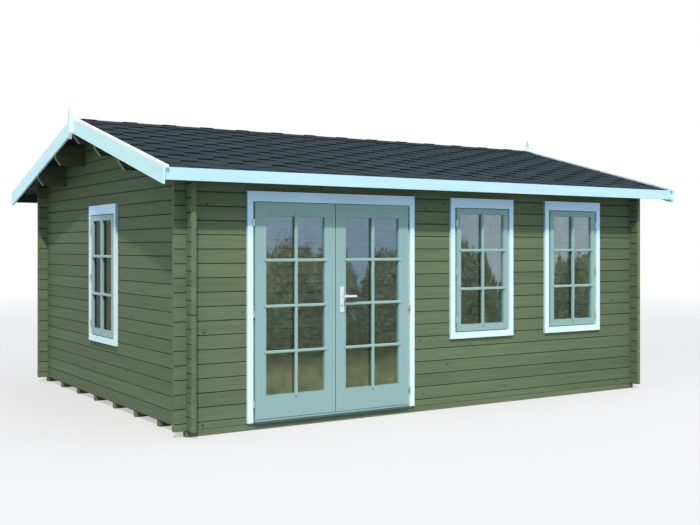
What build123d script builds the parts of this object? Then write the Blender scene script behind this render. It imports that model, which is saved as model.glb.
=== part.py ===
from build123d import *
import os
from math import cos, radians, sin, tan

# Log cabin with a pitched shingle roof, a glazed pair of doors and three windows.
# Millimetres. The origin is the centre of the cabin's footprint at ground level.
# The front wall faces -Y, the gables face -X and +X, and Z is up.

# Walls
length = 5100.0            # outside, along X
depth = 3900.0             # outside, along Y
log_thickness = 44.0
course = 114.0             # height of one log in the wall
log_bevel = 4.5            # V joint on the outer face between two logs
log_overrun = 100.0        # how far a log runs on past the wall that it crosses

# Foundation and floor
beam_height = 50.0
beam_width = 60.0
beam_count = 8
floor_thickness = 18.0
floor_gap = 5.0            # room for the floor to move, all round

# Roof
pitch = 15.0               # degrees
roof_apex = 2662.0         # where the undersides of the two roof slopes meet
board_thickness = 19.0
shingle_thickness = 5.0
ridge_strip_thickness = 4.0
ridge_strip_width = 160.0  # on each slope
eave_overhang = 250.0
gable_overhang = 290.0
purlin_width = 44.0
purlin_depth = 200.0
purlin_offsets = (0.0, 600.0, 1220.0)
purlin_cut_run = 50.0      # of the cut across a purlin's lower end corner
purlin_cut_rise = 66.0
eave_log_courses = 17      # whole courses in the front and back walls, under the top log

# Trim of the roof
fascia_thickness = 20.0
fascia_height = 95.0
barge_thickness = 20.0
barge_width = 120.0
barge_reach = 283.0        # of the foot's lower corner, past the wall
barge_foot_lean = 12.0     # of the foot's upper corner past the lower one
cap_width = 48.0
cap_thickness = 18.0
finial_width = 56.0
finial_thickness = 28.0
finial_bottom = 2502.0     # tip of the lower point
finial_top = 2826.0        # tip of the upper point
finial_point = 60.0        # length of each point

# Casings round the door and the windows
casing_thickness = 24.0
door_leg_width = 51.0
door_head_width = 84.0
window_leg_width = 50.0
window_head_width = 89.0
window_sill_width = 58.0
casing_lap = 24.0          # of a casing over the logs beside an opening
head_lap = 20.0            # of a casing over the logs above an opening
sill_lap = 35.0            # of a casing over the logs under a window
butt_joint = 0.5           # between two strips that meet end to end

# Door
door_centre = -1186.0
door_courses = 16          # log courses that the doorway cuts through, over the half log
leaf_width = 765.0
leaf_thickness = 44.0
leaf_proud = 22.0          # front face of a leaf, in front of the wall
leaf_gap = 5.0             # between a leaf and its frame
meeting_gap = 8.0
stile_width = 101.0
top_rail_height = 111.0
bottom_rail_height = 187.0
glass_thickness = 8.0        # of a double pane, without its air gap
frame_depth = 48.0
head_height = 64.0
stop_width = 17.0
threshold_height = 30.0
threshold_proud = 26.0
door_leg_lift = 12.0       # of a casing leg's foot over the foundation beam

# Hinges
hinge_heights = (215.0, 945.0, 1695.0)
knuckle_radius = 7.0
knuckle_height = 27.0
pin_radius = 4.0
pin_clearance = 0.05
knuckle_gap = 0.3
hinge_back = 10.0          # pin axis in front of the leaf
hinge_side = 17.0          # pin axis beside the leaf's edge
stem_radius = 3.0
stem_lean = 7.0
stem_seat = 12.0           # where a stem enters the leaf, behind its front face
stem_reach = 1.4           # times the run to its seat, before it is trimmed to the leaf's edge

# Door handle
handle_inset = 58.0        # spindle from the meeting edge
handle_height = 1072.0
plate_width = 38.0
plate_height = 220.0
plate_thickness = 6.0
plate_corner = 6.0
plate_drop = 28.0          # centre of the plate under the spindle
neck_radius = 8.0
neck_clearance = 0.05
lever_length = 128.0
lever_thickness = 16.0
lever_height = 18.0
lever_corner = 6.0
lever_standoff = 42.0      # middle of a lever in front of the leaf
spindle_bore_clearance = 2.0

# Windows
front_window_centres = (456.0, 1644.0)
window_width = 720.0       # of the opening cut in the logs
window_courses = 11
window_sill_course = 5     # whole courses under a front window
gable_sill_course = 5      # whole courses under the gable window
sash_proud = 22.0
sash_thickness = 44.0
sash_inset = 49.0          # between the side of the opening in the logs and a sash
sash_gap = 4.0
sash_rebate = 12.0         # of the frame behind the sash's edges
sash_margin = 8.0          # between a sash and the casing over and under it
sash_stile = 48.0
sash_top_rail = 50.0
sash_bottom_rail = 60.0

# Worked out
half_length = length / 2
half_depth = depth / 2
rise = tan(radians(pitch))
slope_cos = cos(radians(pitch))
slope_sin = sin(radians(pitch))
first_log = beam_height
half_course = course / 2
notch = course / 4
board_top = board_thickness / slope_cos
shingle_top = board_top + shingle_thickness / slope_cos
eave_y = half_depth + eave_overhang
gable_x = half_length + gable_overhang
barge_x = gable_x + barge_thickness
floor_top = first_log + floor_thickness


def roof_under(y):
    """Height of the underside of the roof at a distance y from the ridge."""
    return roof_apex - abs(y) * rise


def block(x0, x1, y0, y1, z0, z1):
    """A box between two corners."""
    middle = Pos((x0 + x1) / 2, (y0 + y1) / 2, (z0 + z1) / 2)
    return middle * Box(x1 - x0, y1 - y0, z1 - z0)


def prism(points, travel):
    """A flat outline moved along a straight line."""
    face = Face(Wire.make_polygon([Vector(*point) for point in points], close=True))
    run = Vector(*travel)
    return extrude(face, amount=run.length, dir=run.normalized())


def rod(start, end, radius):
    """A round bar from one point to another."""
    start = Vector(*start)
    end = Vector(*end)
    run = end - start
    return Plane(origin=start, z_dir=run) * Cylinder(
        radius, run.length, align=(Align.CENTER, Align.CENTER, Align.MIN)
    )


def mirrored_x(shape):
    return mirror(shape, about=Plane.YZ)


def mirrored_y(shape):
    return mirror(shape, about=Plane.XZ)


def solids_of(shapes):
    """Every separate solid in a list of shapes."""
    found = []
    for shape in shapes:
        found.extend(shape.solids())
    return found


def front_log(x0, x1, z0, z1):
    """A log of the front wall, with bevelled edges on both faces."""
    outer = -half_depth
    inner = outer + log_thickness
    outline = [
        (x0, inner - log_bevel, z0), (x0, inner, z0 + log_bevel),
        (x0, inner, z1 - log_bevel), (x0, inner - log_bevel, z1),
        (x0, outer + log_bevel, z1), (x0, outer, z1 - log_bevel),
        (x0, outer, z0 + log_bevel), (x0, outer + log_bevel, z0),
    ]
    return prism(outline, (x1 - x0, 0, 0))


def gable_log(y0, y1, z0, z1):
    """A log of the left gable wall, with bevelled edges on both faces."""
    outer = -half_length
    inner = outer + log_thickness
    outline = [
        (inner - log_bevel, y0, z0), (inner, y0, z0 + log_bevel),
        (inner, y0, z1 - log_bevel), (inner - log_bevel, y0, z1),
        (outer + log_bevel, y0, z1), (outer, y0, z1 - log_bevel),
        (outer, y0, z0 + log_bevel), (outer + log_bevel, y0, z0),
    ]
    return prism(outline, (0, y1 - y0, 0))


def corner_notches(z0, z1, bottom, top):
    """Boxes that cut a log down to its middle half where another wall crosses it."""
    cuts = []
    for side in (-1, 1):
        x_inner = side * (half_length - log_thickness)
        x_outer = side * half_length
        y_inner = side * (half_depth - log_thickness)
        y_outer = side * half_depth
        spans = []
        if bottom:
            spans.append((z0, z0 + notch))
        if top:
            spans.append((z1 - notch, z1))
        for low, high in spans:
            cuts.append((x_inner, x_outer, y_inner, y_outer, low, high))
    return cuts


def cut_across_x(log, z0, z1, bottom=True, top=True):
    """Notch a front or back log where the gable walls cross it."""
    for x_a, x_b, _, _, low, high in corner_notches(z0, z1, bottom, top):
        log -= block(min(x_a, x_b), max(x_a, x_b), -half_depth, -half_depth + log_thickness, low, high)
    return log


def cut_across_y(log, z0, z1, bottom=True, top=True):
    """Notch a gable log where the front and back walls cross it."""
    for _, _, y_a, y_b, low, high in corner_notches(z0, z1, bottom, top):
        log -= block(-half_length, -half_length + log_thickness, min(y_a, y_b), max(y_a, y_b), low, high)
    return log


def roof_space():
    """Everything above the undersides of the two roof slopes."""
    wide = half_depth + log_overrun + eave_overhang
    far = gable_x + log_overrun
    high = roof_apex + depth
    outline = [
        (-far, -wide, roof_under(wide)), (-far, 0, roof_apex), (-far, wide, roof_under(wide)),
        (-far, wide, high), (-far, -wide, high),
    ]
    return prism(outline, (2 * far, 0, 0))


above_roof = roof_space()

# Openings in the walls
doorway_half = leaf_width + meeting_gap / 2 + leaf_gap + stop_width + casing_lap
doorway = (
    door_centre - doorway_half, door_centre + doorway_half,
    first_log, first_log + half_course + door_courses * course,
)
window_z0 = first_log + half_course + window_sill_course * course
front_windows = [
    (centre - window_width / 2, centre + window_width / 2, window_z0, window_z0 + window_courses * course)
    for centre in front_window_centres
]
gable_window_z0 = first_log + gable_sill_course * course
gable_window = (
    -window_width / 2, window_width / 2, gable_window_z0, gable_window_z0 + window_courses * course,
)


def spans_between(start, end, z0, z1, openings):
    """The stretches of a log that are left between the openings at its height."""
    spans = []
    here = start
    middle = (z0 + z1) / 2
    for low, high, bottom, top in openings:
        if bottom < middle < top:
            spans.append((here, low))
            here = high
    spans.append((here, end))
    return spans


def long_wall(openings):
    """Logs of the front wall, in two lists of alternate courses."""
    rows = ([], [])
    levels = [(first_log, first_log + half_course)]
    for index in range(eave_log_courses):
        z0 = first_log + half_course + index * course
        levels.append((z0, z0 + course))
    levels.append((levels[-1][1], levels[-1][1] + course))
    for index, (z0, z1) in enumerate(levels):
        lowest = index == 0
        highest = index == len(levels) - 1
        end = half_length + log_overrun
        for x0, x1 in spans_between(-end, end, z0, z1, openings):
            log = front_log(x0, x1, z0, z1)
            log = cut_across_x(log, z0, z1, bottom=not lowest, top=not highest)
            if highest:
                log -= above_roof
            rows[index % 2].append(log)
    return rows


purlins = []
for offset in purlin_offsets:
    for side in ((1,) if offset == 0 else (-1, 1)):
        purlins.append((side * offset, roof_under(offset) - purlin_depth))


def purlin_space(y, z):
    """The straight hole that a purlin takes through a gable wall."""
    return block(
        -half_length, -half_length + log_thickness,
        y - purlin_width / 2, y + purlin_width / 2, z, roof_apex,
    )


def gable_wall(openings):
    """Logs of the left gable, in two lists of alternate courses."""
    rows = ([], [])
    wall_top = first_log + half_course + (eave_log_courses + 1) * course
    index = 0
    z0 = first_log
    while z0 < roof_apex - log_bevel:
        z1 = z0 + course
        crossing = z1 < wall_top
        end = half_depth + log_overrun if crossing else half_depth - log_thickness
        for y0, y1 in spans_between(-end, end, z0, z1, openings):
            log = gable_log(y0, y1, z0, z1)
            if crossing:
                log = cut_across_y(log, z0, z1)
            if z1 > roof_under(end):
                log -= above_roof
            for y, z in purlins:
                if z < z1:
                    log -= purlin_space(y, z)
            rows[index % 2].append(log)
        index += 1
        z0 = z1
    return rows


def foundation_beams():
    spacing = (depth - beam_width) / (beam_count - 1)
    beams = []
    for index in range(beam_count):
        y0 = -half_depth + index * spacing
        beams.append(block(-half_length, half_length, y0, y0 + beam_width, 0, beam_height))
    return beams


def floor_deck():
    x = half_length - log_thickness - floor_gap
    y = half_depth - log_thickness - floor_gap
    return [block(-x, x, -y, y, first_log, floor_top)]


def purlin_bars():
    """Five bars on edge, planed to the slope on top, with their lower end corners cut off."""
    bars = []
    for y, z in purlins:
        top = roof_apex
        y0 = y - purlin_width / 2
        outline = [
            (-gable_x, y0, top), (gable_x, y0, top), (gable_x, y0, z + purlin_cut_rise),
            (gable_x - purlin_cut_run, y0, z), (-gable_x + purlin_cut_run, y0, z),
            (-gable_x, y0, z + purlin_cut_rise),
        ]
        bars.append(prism(outline, (0, purlin_width, 0)) - above_roof)
    return bars


def slope_layer(low, high, y_ridge, y_end, x_end):
    """A layer of the front slope, between two heights over the boards' underside."""
    outline = [
        (-x_end, -y_ridge, roof_under(y_ridge) + low), (-x_end, -y_end, roof_under(y_end) + low),
        (-x_end, -y_end, roof_under(y_end) + high), (-x_end, -y_ridge, roof_under(y_ridge) + high),
    ]
    return prism(outline, (2 * x_end, 0, 0))


def ridge_strip():
    """Front half of the strip of shingle over the ridge, between the cap boards."""
    x_end = barge_x - cap_width
    high = shingle_top + ridge_strip_thickness / slope_cos
    return slope_layer(shingle_top, high, 0, ridge_strip_width * slope_cos, x_end)


def front_fascia():
    top = roof_under(eave_y + fascia_thickness) + shingle_top
    return block(-gable_x, gable_x, -eave_y - fascia_thickness, -eave_y, top - fascia_height, top)


def bargeboard():
    """Board over the left end of the front slope, plumb at the ridge, its foot a little off plumb."""
    low_y = half_depth + barge_reach
    high_y = low_y + barge_foot_lean
    drop = shingle_top - barge_width / slope_cos
    outline = [
        (-barge_x, 0, roof_apex + shingle_top), (-barge_x, 0, roof_apex + drop),
        (-barge_x, -low_y, roof_under(low_y) + drop),
        (-barge_x, -high_y, roof_under(high_y) + shingle_top),
    ]
    return prism(outline, (barge_thickness, 0, 0))


def barge_cap():
    """Flat board on a bargeboard's top edge, lapping over the shingles."""
    foot_y = half_depth + barge_reach + barge_foot_lean
    foot_z = roof_under(foot_y) + shingle_top
    rise_over = cap_thickness / slope_cos
    outline = [
        (-barge_x, 0, roof_apex + shingle_top), (-barge_x, -foot_y, foot_z),
        (-barge_x, -foot_y, foot_z + rise_over), (-barge_x, 0, roof_apex + shingle_top + rise_over),
    ]
    return prism(outline, (cap_width, 0, 0))


def finial():
    """Bar over the joint of the two bargeboards of the left gable, pointed at both ends."""
    x = -barge_x - finial_thickness
    half = finial_width / 2
    outline = [
        (x, 0, finial_bottom), (x, half, finial_bottom + finial_point), (x, half, finial_top - finial_point),
        (x, 0, finial_top), (x, -half, finial_top - finial_point), (x, -half, finial_bottom + finial_point),
    ]
    return prism(outline, (finial_thickness, 0, 0))


wall_y = -half_depth
leaf_front = wall_y - leaf_proud
leaf_back = leaf_front + leaf_thickness
leaf_z0 = first_log + threshold_height + leaf_gap
leaf_outer = leaf_width + meeting_gap / 2
jamb_inner = leaf_outer + leaf_gap
frame_top = doorway[3]
leaf_z1 = frame_top - head_height - leaf_gap


def door_jambs():
    left = block(
        doorway[0], door_centre - jamb_inner, wall_y, wall_y + frame_depth, first_log, leaf_z1 + leaf_gap,
    )
    right = block(
        door_centre + jamb_inner, doorway[1], wall_y, wall_y + frame_depth, first_log, leaf_z1 + leaf_gap,
    )
    return [left, right]


def door_head():
    return [block(doorway[0], doorway[1], wall_y, wall_y + frame_depth, leaf_z1 + leaf_gap, frame_top)]


def door_stops():
    """Strips behind the leaves, on the jambs and the head of the frame."""
    y0 = leaf_back + leaf_gap
    y1 = wall_y + frame_depth
    inner = jamb_inner - stop_width
    top = leaf_z1 + leaf_gap
    base = first_log + threshold_height
    strips = [
        block(door_centre - jamb_inner, door_centre - inner, y0, y1, base, top),
        block(door_centre + inner, door_centre + jamb_inner, y0, y1, base, top),
        block(door_centre - inner + butt_joint, door_centre + inner - butt_joint, y0, y1, top - stop_width, top),
    ]
    return strips


def door_threshold():
    return [block(
        door_centre - jamb_inner, door_centre + jamb_inner, wall_y - threshold_proud,
        wall_y + log_thickness, first_log, first_log + threshold_height,
    )]


def casing_front():
    return wall_y - casing_thickness


door_casing_outer = doorway_half + casing_lap
door_casing_top = frame_top + head_lap


def door_casing_legs():
    z0 = first_log + door_leg_lift
    z1 = door_casing_top - door_head_width
    legs = []
    for side in (-1, 1):
        a = door_centre + side * door_casing_outer
        b = door_centre + side * (door_casing_outer - door_leg_width)
        legs.append(block(min(a, b), max(a, b), casing_front(), wall_y, z0, z1))
    return legs


def door_casing_head():
    return [block(
        door_centre - door_casing_outer, door_centre + door_casing_outer, casing_front(), wall_y,
        door_casing_top - door_head_width, door_casing_top,
    )]


def left_leaf_stiles():
    x0 = door_centre - leaf_outer
    x1 = door_centre - meeting_gap / 2
    return [
        block(x0, x0 + stile_width, leaf_front, leaf_back, leaf_z0, leaf_z1),
        block(x1 - stile_width, x1, leaf_front, leaf_back, leaf_z0, leaf_z1),
    ]


def left_leaf_rails():
    x0 = door_centre - leaf_outer + stile_width
    x1 = door_centre - meeting_gap / 2 - stile_width
    return [
        block(x0, x1, leaf_front, leaf_back, leaf_z0, leaf_z0 + bottom_rail_height),
        block(x0, x1, leaf_front, leaf_back, leaf_z1 - top_rail_height, leaf_z1),
    ]


def left_leaf_glass():
    x0 = door_centre - leaf_outer + stile_width
    x1 = door_centre - meeting_gap / 2 - stile_width
    middle = (leaf_front + leaf_back) / 2
    return [block(
        x0, x1, middle - glass_thickness / 2, middle + glass_thickness / 2,
        leaf_z0 + bottom_rail_height, leaf_z1 - top_rail_height,
    )]


def over_door(shape):
    """The same shape on the other side of the doorway's middle."""
    return mirror(shape, about=Plane.YZ.offset(door_centre))


pin_x = door_centre - leaf_outer - hinge_side
pin_y = leaf_front - hinge_back


def left_hinge_pins():
    """Lower knuckle of each hinge, with its pin and the stem that is screwed into the jamb."""
    pieces = []
    for z in hinge_heights:
        knuckle = rod((pin_x, pin_y, z - knuckle_height), (pin_x, pin_y, z), knuckle_radius)
        pin = rod((pin_x, pin_y, z), (pin_x, pin_y, z + knuckle_height), pin_radius)
        level = z - knuckle_height / 2
        stem = rod((pin_x, pin_y, level), (pin_x + stem_lean, wall_y + stem_radius, level), stem_radius)
        stem -= block(pin_x - 50, pin_x + 50, wall_y, wall_y + 50, level - 50, level + 50)
        pieces.append(knuckle + pin + stem)
    return pieces


def left_hinge_knuckles():
    """Upper knuckle of each hinge, which turns on the pin, with the stem that holds the leaf."""
    pieces = []
    edge = door_centre - leaf_outer
    for z in hinge_heights:
        z0 = z + knuckle_gap
        level = z + knuckle_height / 2
        knuckle = rod((pin_x, pin_y, z0), (pin_x, pin_y, z + knuckle_height), knuckle_radius)
        run_x = hinge_side
        run_y = hinge_back + stem_seat
        stem_end = (pin_x + run_x * stem_reach, pin_y + run_y * stem_reach, level)
        stem = rod((pin_x, pin_y, level), stem_end, stem_radius)
        stem -= block(
            edge, edge + leaf_thickness, pin_y, pin_y + 2 * leaf_thickness,
            level - knuckle_height, level + knuckle_height,
        )
        bore = rod((pin_x, pin_y, z - 1), (pin_x, pin_y, z + knuckle_height + 1), pin_radius + pin_clearance)
        pieces.append(knuckle + stem - bore)
    return pieces


spindle_x = door_centre + meeting_gap / 2 + handle_inset


def across_leaf(x, z, y0, y1, radius):
    return rod((x, y0, z), (x, y1, z), radius)


def handle_plates():
    """Long plates on both faces of the right leaf, bored for the lever's neck."""
    plates = []
    z0 = handle_height - plate_drop - plate_height / 2
    for y0, y1 in ((leaf_front - plate_thickness, leaf_front), (leaf_back, leaf_back + plate_thickness)):
        plate = block(spindle_x - plate_width / 2, spindle_x + plate_width / 2, y0, y1, z0, z0 + plate_height)
        plate = fillet(plate.edges().filter_by(Axis.Y), plate_corner)
        plate -= across_leaf(spindle_x, handle_height, y0 - 1, y1 + 1, neck_radius + neck_clearance)
        plates.append(plate)
    return plates


def handle_lever():
    """Inner and outer lever on one spindle through the right leaf."""
    front = leaf_front - lever_standoff
    back = leaf_back + lever_standoff
    neck = across_leaf(spindle_x, handle_height, front, back, neck_radius)
    pieces = neck
    for y in (front, back):
        grip = block(
            spindle_x - neck_radius, spindle_x + lever_length, y - lever_thickness / 2, y + lever_thickness / 2,
            handle_height - lever_height / 2, handle_height + lever_height / 2,
        )
        grip = fillet(grip.edges().filter_by(Axis.Y), lever_corner)
        pieces += grip
    return [pieces]


def window_pieces(centre, z_cut, z_top):
    """Every piece of a front window, by name, round an opening in the logs."""
    half = window_width / 2
    outer = half + casing_lap
    casing_z0 = z_cut - sill_lap
    casing_z1 = z_top + head_lap
    sash_half = half - sash_inset
    inner = sash_half + sash_gap
    sash_lap = sash_gap + sash_rebate
    front = wall_y - sash_proud
    back = front + sash_thickness
    sash_z0 = casing_z0 + window_sill_width + sash_margin
    sash_z1 = casing_z1 - window_head_width - sash_margin
    pieces = {
        "window_casing_legs": [], "window_casing_rails": [], "window_frames": [],
        "window_sash_stiles": [], "window_sash_rails": [],
        "window_glass": [],
    }
    for side in (-1, 1):
        def upright(a, b, y0, y1, z0, z1):
            xs = (centre + side * a, centre + side * b)
            return block(min(xs), max(xs), y0, y1, z0, z1)
        pieces["window_casing_legs"].append(upright(
            outer - window_leg_width, outer, casing_front(), wall_y,
            casing_z0 + window_sill_width, casing_z1 - window_head_width,
        ))
        jamb_z0 = sash_z0 - sash_gap + butt_joint
        jamb_z1 = sash_z1 + sash_gap - butt_joint
        pieces["window_frames"].append(
            upright(inner, half, wall_y, wall_y + frame_depth, jamb_z0, jamb_z1)
            + upright(inner - sash_lap, inner, back, wall_y + frame_depth, jamb_z0, jamb_z1)
        )
        pieces["window_sash_stiles"].append(upright(
            sash_half - sash_stile, sash_half, front, back, sash_z0, sash_z1,
        ))
    left = centre - outer
    right = centre + outer
    pieces["window_casing_rails"] += [
        block(left, right, casing_front(), wall_y, casing_z0, casing_z0 + window_sill_width),
        block(left, right, casing_front(), wall_y, casing_z1 - window_head_width, casing_z1),
    ]
    rebate_half = inner - sash_lap - butt_joint
    for edge, turn, far in ((sash_z0 - sash_gap, 1, z_cut), (sash_z1 + sash_gap, -1, z_top)):
        rail = block(
            centre - half, centre + half, wall_y, wall_y + frame_depth, min(edge, far), max(edge, far),
        )
        lip = block(
            centre - rebate_half, centre + rebate_half, back, wall_y + frame_depth,
            min(edge, edge + turn * sash_lap), max(edge, edge + turn * sash_lap),
        )
        pieces["window_frames"].append(rail + lip)
    glass_half = sash_half - sash_stile
    pieces["window_sash_rails"] += [
        block(centre - glass_half, centre + glass_half, front, back, sash_z0, sash_z0 + sash_bottom_rail),
        block(centre - glass_half, centre + glass_half, front, back, sash_z1 - sash_top_rail, sash_z1),
    ]
    middle = (front + back) / 2
    pieces["window_glass"].append(block(
        centre - glass_half, centre + glass_half, middle - glass_thickness / 2,
        middle + glass_thickness / 2, sash_z0 + sash_bottom_rail, sash_z1 - sash_top_rail,
    ))
    return pieces


def to_left_gable(shape):
    """Turn a front window's piece so that it sits in the left gable."""
    return Pos(-half_length + half_depth, 0, 0) * Rot(0, 0, -90) * shape


def all_windows():
    pieces = {}
    for x0, x1, z0, z1 in front_windows:
        for name, shapes in window_pieces((x0 + x1) / 2, z0, z1).items():
            pieces.setdefault(name, []).extend(shapes)
    for name, shapes in window_pieces(0.0, gable_window[2], gable_window[3]).items():
        pieces[name].extend(to_left_gable(shape) for shape in shapes)
    return pieces


nodes = {}
front_rows = long_wall([doorway] + front_windows)
back_rows = long_wall([])
left_rows = gable_wall([gable_window])
right_rows = gable_wall([])
nodes["front_wall_logs_even"] = front_rows[0]
nodes["front_wall_logs_odd"] = front_rows[1]
nodes["back_wall_logs_even"] = [mirrored_y(log) for log in back_rows[0]]
nodes["back_wall_logs_odd"] = [mirrored_y(log) for log in back_rows[1]]
nodes["left_gable_logs_even"] = left_rows[0]
nodes["left_gable_logs_odd"] = left_rows[1]
nodes["right_gable_logs_even"] = [mirrored_x(log) for log in right_rows[0]]
nodes["right_gable_logs_odd"] = [mirrored_x(log) for log in right_rows[1]]
nodes["foundation_beams"] = foundation_beams()
nodes["floor_deck"] = floor_deck()
nodes["purlins"] = purlin_bars()

boards = slope_layer(0, board_top, 0, eave_y, gable_x)
shingles = slope_layer(board_top, shingle_top, 0, eave_y, gable_x)
nodes["front_roof_boards"] = [boards]
nodes["back_roof_boards"] = [mirrored_y(boards)]
nodes["front_shingles"] = [shingles]
nodes["back_shingles"] = [mirrored_y(shingles)]
nodes["ridge_strip"] = [ridge_strip(), mirrored_y(ridge_strip())]
nodes["eave_fascias"] = [front_fascia(), mirrored_y(front_fascia())]
nodes["front_bargeboards"] = [bargeboard(), mirrored_x(bargeboard())]
nodes["back_bargeboards"] = [mirrored_y(board) for board in nodes["front_bargeboards"]]
nodes["front_barge_caps"] = [barge_cap(), mirrored_x(barge_cap())]
nodes["back_barge_caps"] = [mirrored_y(cap) for cap in nodes["front_barge_caps"]]
nodes["finials"] = [finial(), mirrored_x(finial())]

nodes["door_jambs"] = door_jambs()
nodes["door_head"] = door_head()
nodes["door_stops"] = door_stops()
nodes["door_threshold"] = door_threshold()
nodes["door_casing_legs"] = door_casing_legs()
nodes["door_casing_head"] = door_casing_head()
nodes["door_hinge_pins"] = left_hinge_pins() + [over_door(pin) for pin in left_hinge_pins()]

nodes["left_leaf_stiles"] = left_leaf_stiles()
nodes["left_leaf_rails"] = left_leaf_rails()
nodes["left_leaf_glass"] = left_leaf_glass()
nodes["left_leaf_knuckles"] = left_hinge_knuckles()
spindle_bore = across_leaf(
    spindle_x, handle_height, leaf_front - 1, leaf_back + 1, neck_radius + spindle_bore_clearance,
)
nodes["right_leaf_stiles"] = [over_door(stile) - spindle_bore for stile in left_leaf_stiles()]
nodes["right_leaf_rails"] = [over_door(rail) for rail in left_leaf_rails()]
nodes["right_leaf_glass"] = [over_door(pane) for pane in left_leaf_glass()]
nodes["right_leaf_knuckles"] = [over_door(knuckle) for knuckle in left_hinge_knuckles()]
nodes["handle_plates"] = handle_plates()
nodes["handle_lever"] = handle_lever()

nodes.update(all_windows())

os.makedirs("parts", exist_ok=True)
for name, shapes in nodes.items():
    export_step(Compound(children=solids_of(shapes)), f"parts/{name}.step")
    print(name, len(solids_of(shapes)))
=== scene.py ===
import math

import bmesh
import bpy
from mathutils import Matrix, Vector


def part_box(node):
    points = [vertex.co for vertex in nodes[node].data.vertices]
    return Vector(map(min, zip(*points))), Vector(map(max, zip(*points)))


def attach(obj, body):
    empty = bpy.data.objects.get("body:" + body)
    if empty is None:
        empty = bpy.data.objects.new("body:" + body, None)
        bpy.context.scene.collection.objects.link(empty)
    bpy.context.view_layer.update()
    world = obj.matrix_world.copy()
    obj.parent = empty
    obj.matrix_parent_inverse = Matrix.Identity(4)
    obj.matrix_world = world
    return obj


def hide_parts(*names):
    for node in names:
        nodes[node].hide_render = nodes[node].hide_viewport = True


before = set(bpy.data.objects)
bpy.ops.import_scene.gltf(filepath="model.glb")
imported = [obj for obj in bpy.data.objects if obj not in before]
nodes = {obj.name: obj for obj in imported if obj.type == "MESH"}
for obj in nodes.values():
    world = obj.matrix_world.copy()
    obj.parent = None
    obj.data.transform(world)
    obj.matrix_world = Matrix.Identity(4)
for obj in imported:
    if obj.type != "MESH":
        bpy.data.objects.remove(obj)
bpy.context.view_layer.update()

# ---------------------------------------------------------------- places and sizes in metres
# x runs along the ridge to the right gable, y from the front to the back, z up from the ground.
COURSE = 0.114                     # height of one log in the wall
WALL_BASE = 0.050                  # underside of the walls, on the foundation beams
LEFT, FRONT = -2.550, -1.950       # outer faces of the left gable and of the front wall
PITCH = math.radians(15)
LEAF_FRONT, LEAF_BACK = -1.972, -1.928     # faces of the door leaves and of the front windows' sashes
AXES = {"x": 0, "y": 1, "z": 2}


def srgb(r, g, b):
    """A colour given as screen values from 0 to 255, in linear light."""
    def one(c):
        c /= 255
        return c / 12.92 if c <= 0.04045 else ((c + 0.055) / 1.055) ** 2.4
    return (one(r), one(g), one(b), 1.0)


def darker(colour, share):
    return tuple(c * share for c in colour[:3]) + (1.0,)


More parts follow.
